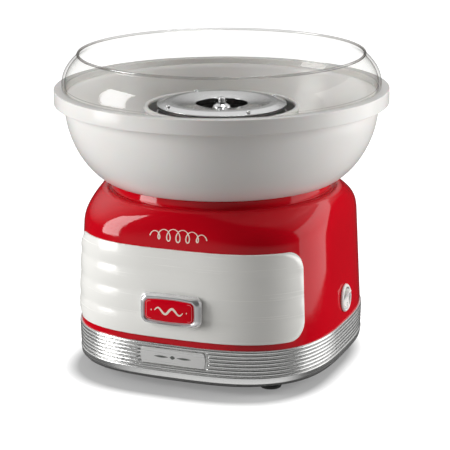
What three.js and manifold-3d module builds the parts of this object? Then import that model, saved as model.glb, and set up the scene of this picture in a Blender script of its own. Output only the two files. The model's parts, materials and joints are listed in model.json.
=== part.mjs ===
// A table-top cotton candy machine: red housing on a ribbed trim ring, white bowl, clear splash
// guard and a spinning aluminium head over a ring heater.
// Millimetres, +Z up, the machine stands on z = 0 and its front faces -Y.

import * as THREE from 'three';
import { mergeVertices } from 'three/addons/utils/BufferGeometryUtils.js';
import Module from 'manifold-3d';

const wasm = await Module();
wasm.setup();

// ---------------------------------------------------------------- driving dimensions

const GAP = 0.3; // room left between pieces that touch
const ROUND = 32; // facets round a large ring
const SMALL = 12; // facets round a small pin or screw

const SQUARENESS = 3.03; // exponent of the housing's squared plan
const SHOULDER_Z = 127; // above this the plan turns from squared to round
const NECK_Z = 158;

const RING_W = 118.2; // half width of the trim ring
const RING_TOP = 41;
const RING_BOTTOM = 8.2;
const RIB_BOTTOM = 17.5;
const RIB_COUNT = 7;
const RIB_DEPTH = 1.5;
const RING_BORE = 115.1;
const SEAM = 0.8; // gap seen between the ring and the housing above it

const PAN_BOTTOM = 3.2;
const PAN_FLOOR = 5.8;
const PAN_FLANGE_Z = 12.3;
const PAN_FLANGE_TOP = 15;

const FOOT_X = 75;
const FOOT_Y = 78;
const FOOT_R = 9.5;

const PLATFORM_TOP = 164;
const PLATFORM_BOTTOM = 161.5;
const PLATFORM_R = 97;
const PLATFORM_HOLE_R = 50;
const LOCATING_RING_R = 76;

const PANEL_BOTTOM = 46.5;
const PANEL_TOP = 124.5;
const PANEL_HALF_X = 104; // where the panel's side edges lie, in plan
const PANEL_BACK = 0.6; // room behind the panel's back face
const PANEL_THICK = 1;
const PANEL_BANDS = 4;
const PANEL_BAND_RISE = 0.6;
const PANEL_CORNER = 16;

const BADGE_Z = 73;
const PLATE_Z = 29.4;
const PLATE_W = 60;
const PLATE_H = 14.5;
const PLATE_RECESS_W = 64.4;

const SWITCH_Z = 61.5;
const SWITCH_TILT = 2.5; // degrees of draft on the housing's side
const BEZEL_R = 12.5;
const ROCKER_TILT = 12;

const GLAND_Z = 56;

const BOWL_R = 147.5;
const BOWL_TOP = 244.4;
const FLANGE_BOTTOM = 231.7;
const BOWL_WALL = 2.5;

const CUP_R = 58;
const CUP_TOP = 221;
const CUP_FLOOR = PLATFORM_TOP + GAP;
const CUP_THICK = 1.2;

const ELEMENT_R = 42;
const ELEMENT_TUBE = 3.2;
const ELEMENT_Z = 196;
const LEG_R = 2.2;
const LEG_ANGLES = [80, 100];

const PLATE_TOP = 152; // top of the motor's bracket plate
const PLATE_THICK = 1.5;
const MOTOR_R = 26;
const MOTOR_TOP = PLATE_TOP - PLATE_THICK - GAP;
const MOTOR_BOTTOM = 90;
const SHAFT_R = 2.5;
const SHAFT_TOP = 218;
const PIN_Z = 211.5;

const HEAD_R = 57.4;
const COVER_TOP = 231.1;
const COVER_HOLE_R = 23;
const RIVET_R = 52;
const RIVET_ANGLES = [48, 138, 228, 318];

// ---------------------------------------------------------------- materials

function material(color, roughness, metalness, opacity = 1) {
  return new THREE.MeshStandardMaterial({
    color, roughness, metalness, opacity, transparent: opacity < 1,
  });
}

const COLOURS = {
  red: () => material(0xb8071a, 0.16, 0),
  white: () => material(0xeae4de, 0.2, 0),
  pearl: () => material(0xe4e1d9, 0.3, 0.1),
  silver: () => material(0xb4b5b6, 0.32, 0.9),
  chrome: () => material(0xd8d8da, 0.08, 1),
  aluminium: () => material(0xc9cacb, 0.18, 1),
  steel: () => material(0x9a9c9f, 0.35, 1),
  black: () => material(0x18181a, 0.5, 0),
  rubber: () => material(0x101011, 0.85, 0),
  ceramic: () => material(0xe9e4d6, 0.6, 0),
  board: () => material(0x1f5a34, 0.5, 0),
  copper: () => material(0xa6642f, 0.4, 0.9),
  magnet: () => material(0x39393c, 0.7, 0.2),
  clear: () => material(0xe8eeee, 0.05, 0, 0.25),
};

// ---------------------------------------------------------------- solids

// One closed body: shared vertices merged, empty triangles dropped, faces pointing out.
function closed(geometry) {
  const bare = geometry.clone();
  bare.deleteAttribute('normal');
  bare.deleteAttribute('uv');
  const merged = mergeVertices(bare, 1e-4);
  const index = merged.index.array;
  const kept = [];
  for (let i = 0; i < index.length; i += 3) {
    const [a, b, c] = [index[i], index[i + 1], index[i + 2]];
    if (a !== b && b !== c && c !== a) kept.push(a, b, c);
  }
  merged.setIndex(kept);
  if (signedVolume(merged) < 0) {
    for (let i = 0; i < kept.length; i += 3) {
      [kept[i + 1], kept[i + 2]] = [kept[i + 2], kept[i + 1]];
    }
    merged.setIndex(kept);
  }
  return merged;
}

function signedVolume(geometry) {
  const place = geometry.getAttribute('position');
  const index = geometry.index.array;
  const corners = [new THREE.Vector3(), new THREE.Vector3(), new THREE.Vector3()];
  let total = 0;
  for (let i = 0; i < index.length; i += 3) {
    corners.forEach((corner, k) => corner.fromBufferAttribute(place, index[i + k]));
    total += corners[0].dot(corners[1].clone().cross(corners[2])) / 6;
  }
  return total;
}

function toManifold(geometry) {
  const body = closed(geometry);
  return new wasm.Manifold(new wasm.Mesh({
    numProp: 3,
    vertProperties: new Float32Array(body.getAttribute('position').array),
    triVerts: new Uint32Array(body.index.array),
  }));
}

function fromManifold(manifold) {
  const mesh = manifold.getMesh();
  const geometry = new THREE.BufferGeometry();
  geometry.setAttribute('position', new THREE.BufferAttribute(mesh.vertProperties, 3));
  geometry.setIndex(new THREE.BufferAttribute(mesh.triVerts, 1));
  return geometry;
}

function join(first, ...others) {
  return fromManifold(others.reduce((sum, one) => sum.add(toManifold(one)), toManifold(first)));
}

function cut(first, ...others) {
  return fromManifold(others.reduce((rest, one) => rest.subtract(toManifold(one)), toManifold(first)));
}

function common(first, second) {
  return fromManifold(toManifold(first).intersect(toManifold(second)));
}

// A turned solid from [radius, z] points. A profile off the axis is closed on itself.
function turned(points, facets = SMALL) {
  const profile = points.map(([r, z]) => new THREE.Vector2(r, z));
  const first = profile[0];
  const last = profile[profile.length - 1];
  if (first.x > 0 || last.x > 0) profile.push(first.clone());
  return closed(new THREE.LatheGeometry(profile, facets).rotateX(Math.PI / 2));
}

function rod(radius, bottom, top, facets = SMALL) {
  return turned([[0, bottom], [radius, bottom], [radius, top], [0, top]], facets);
}

function tube(inner, outer, bottom, top, facets = SMALL) {
  return turned([[inner, bottom], [outer, bottom], [outer, top], [inner, top]], facets);
}

function block(x, y, z, centre) {
  return new THREE.BoxGeometry(x, y, z).translate(...centre);
}

function at(geometry, x, y, z = 0) {
  return geometry.clone().translate(x, y, z);
}

function around(geometry, radius, degrees) {
  const turn = THREE.MathUtils.degToRad(degrees);
  return geometry.clone().rotateZ(turn).translate(radius * Math.cos(turn), radius * Math.sin(turn), 0);
}

// How squared the plan is at height z: SQUARENESS low down, 2 (a circle) at the neck.
function squarenessAt(z) {
  const t = THREE.MathUtils.clamp((z - SHOULDER_Z) / (NECK_Z - SHOULDER_Z), 0, 1);
  return SQUARENESS + (2 - SQUARENESS) * t ** 3 * (4 - 3 * t);
}

// Radius, relative to the half width, of a squared circle at one angle.
function squareFactor(angle, n) {
  const sum = Math.abs(Math.cos(angle)) ** n + Math.abs(Math.sin(angle)) ** n;
  return sum ** (-1 / n);
}

// Turns a round ring into one with the housing's squared plan.
function squared(geometry) {
  const place = geometry.getAttribute('position');
  for (let i = 0; i < place.count; i += 1) {
    const [x, y, z] = [place.getX(i), place.getY(i), place.getZ(i)];
    const factor = squareFactor(Math.atan2(y, x), squarenessAt(z));
    place.setXY(i, x * factor, y * factor);
  }
  return geometry;
}

// Half width of the housing's drafted side at height z.
function housingHalfWidth(z) {
  return 116.9 - (z - 44.5) * (3.8 / 82.5);
}

function named(name, geometry, colour) {
  const mesh = new THREE.Mesh(closed(geometry), COLOURS[colour]());
  mesh.name = name;
  return mesh;
}

const corners = [[1, 1], [-1, 1], [-1, -1], [1, -1]];

// ---------------------------------------------------------------- base and housing

function basePan() {
  const dish = squared(turned([
    [0, PAN_BOTTOM], [103, PAN_BOTTOM], [108.5, 6], [110.3, PAN_FLANGE_Z], [114.6, PAN_FLANGE_Z],
    [114.6, PAN_FLANGE_TOP], [107.5, PAN_FLANGE_TOP], [106, 8.4], [101.5, PAN_FLOOR], [0, PAN_FLOOR],
  ], ROUND));
  const holes = corners.map(([x, y]) => at(rod(2.3, 0, 8), x * FOOT_X, y * FOOT_Y));
  const slots = [];
  for (const side of [-1, 1]) {
    for (let i = 0; i < 4; i += 1) {
      slots.push(block(3.2, 34, 8, [side * (16 + i * 7), 0, 4]));
    }
  }
  const posts = [-1, 1].map((side) => at(
    turned([[0, 5], [3, 5], [3, 13.7], [1.2, 13.7], [1.2, 17], [0, 17]]),
    58 + side * 20,
    30,
  ));
  return join(cut(dish, ...holes, ...slots), ...posts);
}

function foot() {
  return turned([[4.4, 0], [8.9, 0], [FOOT_R, 0.9], [FOOT_R, PAN_BOTTOM - GAP], [2.3, PAN_BOTTOM - GAP],
    [2.3, 2], [4.4, 2]], 12);
}

function baseScrew() {
  return turned([[0, 0.3], [3.4, 0.3], [3.9, 0.9], [3.9, 1.7], [1.7, 1.7], [1.7, 24], [0, 25.5]], 10);
}

// Ring of satin silver with fine grooves over a smooth lower band, cut away for the name plate.
function trimRing() {
  const pitch = (RING_TOP - RIB_BOTTOM) / RIB_COUNT;
  const profile = [[RING_BORE, 12], [113, 10.5], [113, RING_BOTTOM], [115.3, RING_BOTTOM], [117, 10.6]];
  for (let i = 0; i < RIB_COUNT; i += 1) {
    const low = RIB_BOTTOM + i * pitch;
    const width = 117.7 + (RING_W - 117.7) * (i / (RIB_COUNT - 1));
    profile.push([width - RIB_DEPTH, low], [width, low + pitch / 2]);
  }
  profile.push([RING_W - 0.6, RING_TOP], [RING_BORE, RING_TOP]);
  const pocket = block(PLATE_RECESS_W, 6, PLATE_H + 1.2, [0, -RING_W - 1, PLATE_Z]);
  return cut(squared(turned(profile, ROUND)), pocket);
}

// Outline of a plate whose short ends bow outwards.
function bowedOutline(width, height, bow) {
  const outline = new THREE.Shape();
  outline.moveTo(-width / 2 + bow, -height / 2);
  outline.lineTo(width / 2 - bow, -height / 2);
  outline.quadraticCurveTo(width / 2 + bow, 0, width / 2 - bow, height / 2);
  outline.lineTo(-width / 2 + bow, height / 2);
  outline.quadraticCurveTo(-width / 2 - bow, 0, -width / 2 + bow, -height / 2);
  return outline;
}

// Extrudes an outline so that it stands on the front of the machine: drawn in X and Z, raised to -Y.
function frontPlate(outline, depth, bevel, back, z) {
  const geometry = new THREE.ExtrudeGeometry(outline, {
    depth: depth - bevel,
    bevelEnabled: bevel > 0,
    bevelThickness: bevel,
    bevelSize: bevel * 0.8,
    bevelOffset: -bevel * 0.8,
    bevelSegments: 1,
    curveSegments: 6,
  });
  const onlyFront = common(geometry, block(200, 100, depth + 10, [0, 0, depth / 2 + 5]));
  return onlyFront.rotateX(Math.PI / 2).translate(0, back, z);
}

function namePlate() {
  return frontPlate(bowedOutline(PLATE_W, PLATE_H, 2), 2.4, 0.6, -RING_W + 2 - GAP, PLATE_Z);
}

function housing() {
  const shoulder = curvePoints([[113.1, SHOULDER_Z], [112.4, 141.5], [110, 156.2], [103.3, 157.2]], 7);
  const shell = squared(turned([
    [114.6, PAN_FLANGE_TOP + GAP], [114.6, RING_TOP + SEAM], [housingHalfWidth(RING_TOP), RING_TOP + SEAM],
    [housingHalfWidth(72), 72], ...shoulder, [100, 156.3], [97.8, 155.8],
    [PLATFORM_R, 156.6], [PLATFORM_R, 163.2],
    [96.2, PLATFORM_TOP], [LOCATING_RING_R, PLATFORM_TOP], [LOCATING_RING_R, 167.2],
    [LOCATING_RING_R - 2.5, 167.2], [LOCATING_RING_R - 2.5, PLATFORM_TOP], [PLATFORM_HOLE_R, PLATFORM_TOP],
    [PLATFORM_HOLE_R, PLATFORM_BOTTOM], [93.5, PLATFORM_BOTTOM], [94.5, 154.6],
    [97.5, 153.1], [103.3, 152.6], [107.6, 145], [110.4, SHOULDER_Z], [112.2, 60],
    [112.2, PAN_FLANGE_TOP + GAP],
  ], ROUND));
  const bosses = corners.flatMap(([x, y]) => {
    const turn = Math.atan2(y * FOOT_Y, x * FOOT_X);
    const web = block(21, 2.2, 90, [115.5, 0, 62]).rotateZ(turn);
    return [at(rod(5.5, PAN_FLOOR + GAP, 112, 10), x * FOOT_X, y * FOOT_Y), web];
  });
  const bores = corners.map(([x, y]) => at(rod(2, 0, 28, 10), x * FOOT_X, y * FOOT_Y));
  const switchHole = rod(10.3, -16, 12, 24).applyMatrix4(switchPlace());
  const glandHole = rod(5.2, -12, 12).rotateX(Math.PI / 2).translate(0, 114, GLAND_Z);
  const cupHoles = [90, 210, 330].map((angle) => around(rod(1.7, 155, 170, 12), 62.5, angle));
  const mountHoles = [30, 150, 270].map((angle) => around(rod(1.7, 155, 170, 12), 56, angle));
  return cut(join(shell, ...bosses), ...bores, switchHole, glandHole, ...cupHoles, ...mountHoles);
}

// The pearl panel wraps the front and both front corners in four shallow convex bands.
function frontPanel() {
  const [columns, rows] = [18, 12];
  const box = new THREE.BoxGeometry(2, 2, 2, columns, rows, 1);
  const place = box.getAttribute('position');
  const height = PANEL_TOP - PANEL_BOTTOM;
  const edge = panelEdgeAngle();
  const halfArc = 150; // length of the panel's half, along the surface, used only for its corners
  for (let i = 0; i < place.count; i += 1) {
    const v = Math.sin((place.getY(i) * Math.PI) / 2);
    const z = PANEL_BOTTOM + ((v + 1) / 2) * height;
    const inCorner = Math.max(0, PANEL_CORNER - (1 - Math.abs(v)) * (height / 2));
    const shorter = PANEL_CORNER - Math.sqrt(PANEL_CORNER ** 2 - inCorner ** 2);
    const angle = -Math.PI / 2 + place.getX(i) * edge * (1 - shorter / halfArc);
    const band = Math.abs(Math.sin(((z - PANEL_BOTTOM) / height) * PANEL_BANDS * Math.PI));
    const rise = place.getZ(i) > 0 ? PANEL_THICK + PANEL_BAND_RISE * band : 0;
    const width = housingHalfWidth(z) + PANEL_BACK + rise;
    const r = width * squareFactor(angle, SQUARENESS);
    place.setXYZ(i, r * Math.cos(angle), r * Math.sin(angle), z);
  }
  return box;
}

// Angle from the front, seen in plan, at which the housing's wall reaches PANEL_HALF_X.
function panelEdgeAngle() {
  const width = housingHalfWidth(BADGE_Z);
  const y = width * (1 - (PANEL_HALF_X / width) ** SQUARENESS) ** (1 / SQUARENESS);
  return Math.atan2(PANEL_HALF_X, y);
}

function badgeBack() {
  return -(housingHalfWidth(BADGE_Z - 14) + PANEL_BACK + PANEL_THICK + PANEL_BAND_RISE + GAP);
}

function badgeFrame() {
  const plate = frontPlate(bowedOutline(57, 27.6, 1), 5.6, 3, badgeBack(), BADGE_Z);
  const recess = block(45.6, 6, 18.8, [0, badgeBack() - 5.6 - 1.6, BADGE_Z]);
  return cut(plate, recess);
}

function badgeInsert() {
  return frontPlate(bowedOutline(44.6, 17.8, 0.3), 2.2, 0.5, badgeBack() - 4.2 - GAP, BADGE_Z);
}

// ---------------------------------------------------------------- rocker switch, drawn facing +Z

function switchPlace() {
  const turn = new THREE.Matrix4().makeRotationY(THREE.MathUtils.degToRad(90 - SWITCH_TILT));
  const move = new THREE.Matrix4().makeTranslation(housingHalfWidth(SWITCH_Z), 0, SWITCH_Z);
  return move.multiply(turn);
}

function switchBezel() {
  return turned([[9.6, 0.3], [BEZEL_R, 0.3], [BEZEL_R, 1.3], [11.6, 2.4], [10.4, 2.7], [9.6, 2.2]], 24)
    .applyMatrix4(switchPlace());
}

function switchBody() {
  const barrel = turned([[0, -15], [9.9, -15], [9.9, 0], [9.4, 0], [9.4, -9], [0, -9]], 24);
  const tabs = [-4.5, 4.5].map((x) => block(0.8, 6, 10, [x, 0, -19]));
  return join(barrel, ...tabs).applyMatrix4(switchPlace());
}

function switchRocker() {
  const side = new THREE.Shape();
  side.moveTo(-7.2, 5.4);
  side.quadraticCurveTo(-3, 3, 0, 3);
  side.quadraticCurveTo(3, 3, 7.2, 5.4);
  side.lineTo(8.7, 0.6);
  side.lineTo(3.4, -4.4);
  side.lineTo(-3.4, -4.4);
  side.lineTo(-8.7, 0.6);
  const slab = new THREE.ExtrudeGeometry(side, { depth: 14.4, bevelEnabled: false, curveSegments: 5 })
    .translate(0, 0, -7.2)
    .rotateX(Math.PI / 2);
  const tilt = THREE.MathUtils.degToRad(ROCKER_TILT);
  return common(slab, rod(8.7, -10, 10, 24)).rotateY(tilt).translate(0, 0, -1).applyMatrix4(switchPlace());
}

function cordGland() {
  return turned([[3.3, -7], [4.9, -7], [4.9, 0.4], [8, 0.6], [8, 2.4], [5.6, 3.4], [5, 9], [3.3, 9]], 14)
    .rotateX(-Math.PI / 2)
    .translate(0, housingHalfWidth(GLAND_Z) + 0.1, GLAND_Z);
}

// ---------------------------------------------------------------- heater

function heaterCup() {
  const cup = turned([
    [9, CUP_FLOOR], [66, CUP_FLOOR], [66, CUP_FLOOR + CUP_THICK], [CUP_R, CUP_FLOOR + CUP_THICK],
    [CUP_R, CUP_TOP], [CUP_R - CUP_THICK, CUP_TOP], [CUP_R - CUP_THICK, CUP_FLOOR + CUP_THICK],
    [9, CUP_FLOOR + CUP_THICK],
  ], 24);
  const screwHoles = [90, 210, 330].map((angle) => around(rod(1.7, 160, 170, 12), 62.5, angle));
  const legHoles = LEG_ANGLES.map((angle) => around(rod(4.3, 160, 170), ELEMENT_R, angle));
  return cut(cup, ...screwHoles, ...legHoles);
}

function cupScrew() {
  const seat = CUP_FLOOR + CUP_THICK + GAP;
  return turned([[0, 157.5], [1.3, 157.5], [1.3, seat], [3, seat], [3, seat + 1], [1.8, seat + 1.9],
    [0, seat + 1.9]], 12);
}

function heatShield() {
  const disc = tube(9, 48, PLATFORM_BOTTOM + 0.5, PLATFORM_BOTTOM + 1.9, 18);
  return cut(disc, ...LEG_ANGLES.map((angle) => around(rod(4.3, 155, 170), ELEMENT_R, angle)));
}

function heatingElement() {
  const ring = new THREE.TorusGeometry(ELEMENT_R, ELEMENT_TUBE, 7, 24).translate(0, 0, ELEMENT_Z);
  return join(ring, ...LEG_ANGLES.map((angle) => around(rod(LEG_R, 154, ELEMENT_Z, 12), ELEMENT_R, angle)));
}

function legInsulator() {
  return turned([[2.6, 160], [4, 160], [4, 165.8], [6, 165.8], [6, 168.5], [2.6, 168.5]], 12);
}

function elementSupport() {
  return rod(3.6, CUP_FLOOR + CUP_THICK + GAP, ELEMENT_Z - ELEMENT_TUBE - GAP, 14);
}

function thermalFuse() {
  const can = rod(2, -5.5, 5.5, 14);
  const lead = rod(0.6, -11, 11, 8);
  return join(can, lead).rotateY(Math.PI / 2).translate(0, -26, PLATFORM_BOTTOM - 1.9);
}

// ---------------------------------------------------------------- motor

function motorPlate() {
  const bottom = PLATE_TOP - PLATE_THICK;
  const disc = tube(7.5, 62, bottom, PLATE_TOP, 24);
  const holes = [30, 150, 270].map((angle) => around(rod(2.1, 145, 155, 12), 56, angle));
  const legs = LEG_ANGLES.map((angle) => around(rod(5, 145, 155), ELEMENT_R, angle));
  return cut(disc, ...holes, ...legs);
}

function motorMount() {
  return tube(2.1, 6, PLATE_TOP + GAP, PLATFORM_BOTTOM - GAP, 16);
}

function mountScrew() {
  const seat = PLATE_TOP - PLATE_THICK - GAP;
  return turned([[0, seat - 2], [2.6, seat - 2], [3.4, seat - 1.2], [3.4, seat], [1.4, seat],
    [1.4, PLATFORM_TOP - GAP], [0, PLATFORM_TOP - GAP]], 12);
}

function motorCan() {
  return turned([[MOTOR_R, MOTOR_BOTTOM], [MOTOR_R, MOTOR_TOP - 2], [MOTOR_R - 2, MOTOR_TOP],
    [5.3, MOTOR_TOP], [5.3, MOTOR_TOP - 1.5], [MOTOR_R - 1.5, MOTOR_TOP - 1.5],
    [MOTOR_R - 1.5, MOTOR_BOTTOM]], 18);
}

function motorEndCap() {
  return turned([[5.3, MOTOR_BOTTOM - 3], [20, MOTOR_BOTTOM - 3], [MOTOR_R, MOTOR_BOTTOM - 2],
    [MOTOR_R, MOTOR_BOTTOM - GAP], [MOTOR_R - 2, MOTOR_BOTTOM - GAP], [MOTOR_R - 2, MOTOR_BOTTOM + 3],
    [5.3, MOTOR_BOTTOM + 3]], 18);
}

function bearing(middle) {
  return tube(SHAFT_R + 0.15, 5, middle - 3, middle + 3, 16);
}

function motorMagnet(middle) {
  const half = THREE.MathUtils.degToRad(66);
  const outline = new THREE.Shape();
  outline.absarc(0, 0, 23.7, -half, half, false);
  outline.absarc(0, 0, 19.6, half, -half, true);
  return new THREE.ExtrudeGeometry(outline, { depth: 38, bevelEnabled: false, curveSegments: 8 })
    .rotateZ(THREE.MathUtils.degToRad(middle))
    .translate(0, 0, 100);
}

function armature() {
  return turned([[SHAFT_R + GAP, 96], [6.5, 96], [6.5, 104], [14, 106], [19, 106], [19, 132], [14, 132],
    [9, 138], [SHAFT_R + GAP, 138]], 14);
}

function motorShaft() {
  const shaft = turned([[0, 66], [SHAFT_R, 66], [SHAFT_R, SHAFT_TOP - 1], [SHAFT_R - 1, SHAFT_TOP],
    [0, SHAFT_TOP]], 16);
  return cut(shaft, rod(1.25, -8, 8, 12).rotateX(Math.PI / 2).translate(0, 0, PIN_Z));
}

function drivePin() {
  return rod(1, -6, 6, 12).rotateX(Math.PI / 2).translate(0, 0, PIN_Z);
}

function coolingFan() {
  const hub = tube(SHAFT_R + GAP, 7, 70, 82, 12);
  const blades = [];
  for (let i = 0; i < 6; i += 1) {
    blades.push(block(19, 1.4, 11, [15.2, 0, 0]).rotateX(0.65).translate(0, 0, 76).rotateZ((i * Math.PI) / 3));
  }
  return join(hub, ...blades);
}

function rectifierBoard() {
  const board = cut(
    block(52, 34, 1.6, [58, 30, 14.8]),
    ...[-1, 1].map((side) => at(rod(1.5, 10, 20, 12), 58 + side * 20, 30)),
  );
  const terminal = block(20, 10, 9, [58, 20, 19.8]);
  const diodes = [0, 1, 2, 3].map((i) => rod(1.6, -4, 4, 10).rotateX(Math.PI / 2)
    .translate(50 + i * 5, 38, 17));
  return join(board, terminal, ...diodes);
}

// ---------------------------------------------------------------- spinning head

function headPan() {
  const pan = turned([
    [7.3, 207], [45.5, 207], [48.3, 210], [48.5, 226.2], [HEAD_R - 0.4, 226.2], [HEAD_R, 226.7],
    [HEAD_R - 0.4, 227.2], [47.5, 227.2], [47.3, 210.6], [45, 208.1], [7.3, 208.1],
  ], 28);
  return cut(pan, ...RIVET_ANGLES.map((angle) => around(rod(1.7, 220, 235, 12), RIVET_R, angle)));
}

function headCover() {
  const cover = turned([
    [COVER_HOLE_R, 227.9], [44, 230.1], [50.5, 229.7], [54.6, 228.1], [HEAD_R - 0.3, 228.1],
    [HEAD_R, 228.5], [HEAD_R - 0.4, 228.9], [56, 229.1], [53.6, 230.1], [50, 230.9],
    [44, COVER_TOP], [COVER_HOLE_R, 228.9],
  ], 28);
  return cut(cover, ...RIVET_ANGLES.map((angle) => around(rod(1.7, 220, 235, 12), RIVET_R, angle)));
}

function headRivet() {
  return turned([[0, 224.6], [1.8, 224.6], [2.4, 225.2], [2.4, 225.9], [1.4, 225.9], [1.4, 231.1],
    [2.4, 231.1], [2.2, 231.8], [0, 232.2]], 8);
}

function headHub() {
  const hub = turned([
    [0, 219], [2.9, 219], [2.9, 204], [7, 204], [7, 208.4], [9, 208.4], [9, 222.4], [8.2, 225.8],
    [6, 227.7], [2, 228.4], [2, 221.4], [0, 221.4],
  ], 16);
  return cut(hub, block(3, 13.4, 12, [0, 0, 208]));
}

function headKnob() {
  return turned([[0, 221.8], [1.6, 221.8], [1.6, 228.7], [2.6, 228.7], [2.6, 230.4], [3.25, 230.8],
    [3.25, 233.5], [2.4, 234.3], [0, 234.3]], 12);
}

// ---------------------------------------------------------------- bowl and splash guard

function curvePoints(corner, steps) {
  const curve = new THREE.CubicBezierCurve(...corner.map(([r, z]) => new THREE.Vector2(r, z)));
  return curve.getPoints(steps).map((point) => [point.x, point.y]);
}

function bowl() {
  const outer = curvePoints([[105.5, 166], [118, 173], [138, 196], [138.6, FLANGE_BOTTOM]], 6);
  const inner = curvePoints(
    [[138.6 - BOWL_WALL, 238], [132.6, 204], [117, 177], [102.5, 169.4]],
    5,
  );
  return turned([
    [84, CUP_FLOOR], [96.5, CUP_FLOOR], ...outer,
    [BOWL_R - 0.3, FLANGE_BOTTOM], [BOWL_R, 232.4], [BOWL_R, 243.8], [146.9, BOWL_TOP], [139, BOWL_TOP],
    [138.4, 243.8], [138.4, 239.2], ...inner, [91, 168.4],
    [82.5, 170.6], [76, 177], [71.5, 189], [69, 204], [68, 218], [68.8, 223], [68.6, 226.2],
    [66.8, 227.5], [65.1, 226.4], [64.9, 218], [65.8, 204], [68.5, 188], [73, 174.5], [79, 167],
  ], ROUND);
}

function guard() {
  const outside = curvePoints([[140.6, 247], [140.6, 259], [134.8, 265.5], [127.6, 272.2]], 6);
  const inside = curvePoints([[126, 270.6], [132.6, 264.6], [138.2, 258], [138.2, 247]], 6);
  return turned([
    [136.3, 239.6], [138.1, 239.6], [138.1, BOWL_TOP + GAP], [140.6, BOWL_TOP + GAP], ...outside,
    [126.1, 274.6], [124.8, 275.8], [123.7, 274.8], [123.6, 273.2], ...inside, [136.3, 245.6],
  ], ROUND);
}

// ---------------------------------------------------------------- assembly

const machine = new THREE.Group();
const add = (name, geometry, colour) => machine.add(named(name, geometry, colour));

add('base_pan', basePan(), 'black');
corners.forEach(([x, y], i) => {
  add(`foot_${i + 1}`, at(foot(), x * FOOT_X, y * FOOT_Y), 'rubber');
  add(`base_screw_${i + 1}`, at(baseScrew(), x * FOOT_X, y * FOOT_Y), 'steel');
});
add('trim_ring', trimRing(), 'silver');
add('name_plate', namePlate(), 'silver');
add('housing', housing(), 'red');
add('front_panel', frontPanel(), 'pearl');
add('badge_frame', badgeFrame(), 'chrome');
add('badge_insert', badgeInsert(), 'red');
add('switch_bezel', switchBezel(), 'white');
add('switch_body', switchBody(), 'black');
add('switch_rocker', switchRocker(), 'white');
add('cord_gland', cordGland(), 'black');

add('heater_cup', heaterCup(), 'steel');
[90, 210, 330].forEach((angle, i) => add(`cup_screw_${i + 1}`, around(cupScrew(), 62.5, angle), 'steel'));
add('heat_shield', heatShield(), 'ceramic');
add('heating_element', heatingElement(), 'steel');
LEG_ANGLES.forEach((angle, i) => {
  add(`leg_insulator_${i + 1}`, around(legInsulator(), ELEMENT_R, angle), 'ceramic');
});
[0, 180, 270].forEach((angle, i) => {
  add(`element_support_${i + 1}`, around(elementSupport(), ELEMENT_R, angle), 'ceramic');
});
add('thermal_fuse', thermalFuse(), 'ceramic');

add('motor_plate', motorPlate(), 'steel');
[30, 150, 270].forEach((angle, i) => {
  add(`motor_mount_${i + 1}`, around(motorMount(), 56, angle), 'rubber');
  add(`mount_screw_${i + 1}`, around(mountScrew(), 56, angle), 'steel');
});
add('motor_can', motorCan(), 'steel');
add('motor_end_cap', motorEndCap(), 'black');
add('upper_bearing', bearing(MOTOR_TOP - 2), 'copper');
add('lower_bearing', bearing(MOTOR_BOTTOM), 'copper');
[0, 180].forEach((middle, i) => add(`motor_magnet_${i + 1}`, motorMagnet(middle), 'magnet'));
add('armature', armature(), 'copper');
add('motor_shaft', motorShaft(), 'steel');
add('drive_pin', drivePin(), 'steel');
add('cooling_fan', coolingFan(), 'black');
add('rectifier_board', rectifierBoard(), 'board');

add('head_pan', headPan(), 'aluminium');
add('head_cover', headCover(), 'aluminium');
add('head_hub', headHub(), 'aluminium');
add('head_knob', headKnob(), 'chrome');
RIVET_ANGLES.forEach((angle, i) => add(`head_rivet_${i + 1}`, around(headRivet(), RIVET_R, angle), 'aluminium'));

add('bowl', bowl(), 'white');
add('guard', guard(), 'clear');

export default machine;
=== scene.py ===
import json
import math

import bmesh
import bpy
from mathutils import Matrix, Vector


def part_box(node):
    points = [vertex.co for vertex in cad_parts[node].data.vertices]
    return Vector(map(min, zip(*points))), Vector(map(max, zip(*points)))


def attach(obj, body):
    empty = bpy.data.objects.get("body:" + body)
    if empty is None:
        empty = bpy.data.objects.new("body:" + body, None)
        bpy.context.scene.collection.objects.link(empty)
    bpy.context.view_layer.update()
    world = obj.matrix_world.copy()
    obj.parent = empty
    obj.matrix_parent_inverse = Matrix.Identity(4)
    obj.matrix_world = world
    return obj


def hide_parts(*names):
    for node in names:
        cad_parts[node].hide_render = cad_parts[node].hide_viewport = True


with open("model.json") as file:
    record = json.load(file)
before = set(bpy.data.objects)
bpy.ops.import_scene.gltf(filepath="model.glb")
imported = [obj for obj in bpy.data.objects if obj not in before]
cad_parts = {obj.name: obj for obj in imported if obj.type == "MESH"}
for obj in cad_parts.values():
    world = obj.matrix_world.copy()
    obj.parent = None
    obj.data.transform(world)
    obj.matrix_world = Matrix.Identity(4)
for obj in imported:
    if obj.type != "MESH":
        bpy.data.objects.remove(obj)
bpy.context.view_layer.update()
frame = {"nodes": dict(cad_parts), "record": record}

MM = 0.001
TAU = 2 * math.pi
AROUND = 192        # facets round a large turned piece
AROUND_SMALL = 48   # facets round a screw, rivet or knob


def node_box(name):
    """Lowest and highest corner of a CAD node, in millimetres."""
    low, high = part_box(name)
    return [v / MM for v in low], [v / MM for v in high]


BOWL_LOW, BOWL_HIGH = node_box("bowl")
GUARD_LOW, GUARD_HIGH = node_box("guard")
RING_LOW, RING_HIGH = node_box("trim_ring")
PANEL_LOW, PANEL_HIGH = node_box("front_panel")
BADGE_LOW, BADGE_HIGH = node_box("badge_frame")
PLATE_LOW, PLATE_HIGH = node_box("name_plate")
CUP_LOW, CUP_HIGH = node_box("heater_cup")
PAN_LOW = node_box("base_pan")[0]

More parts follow.
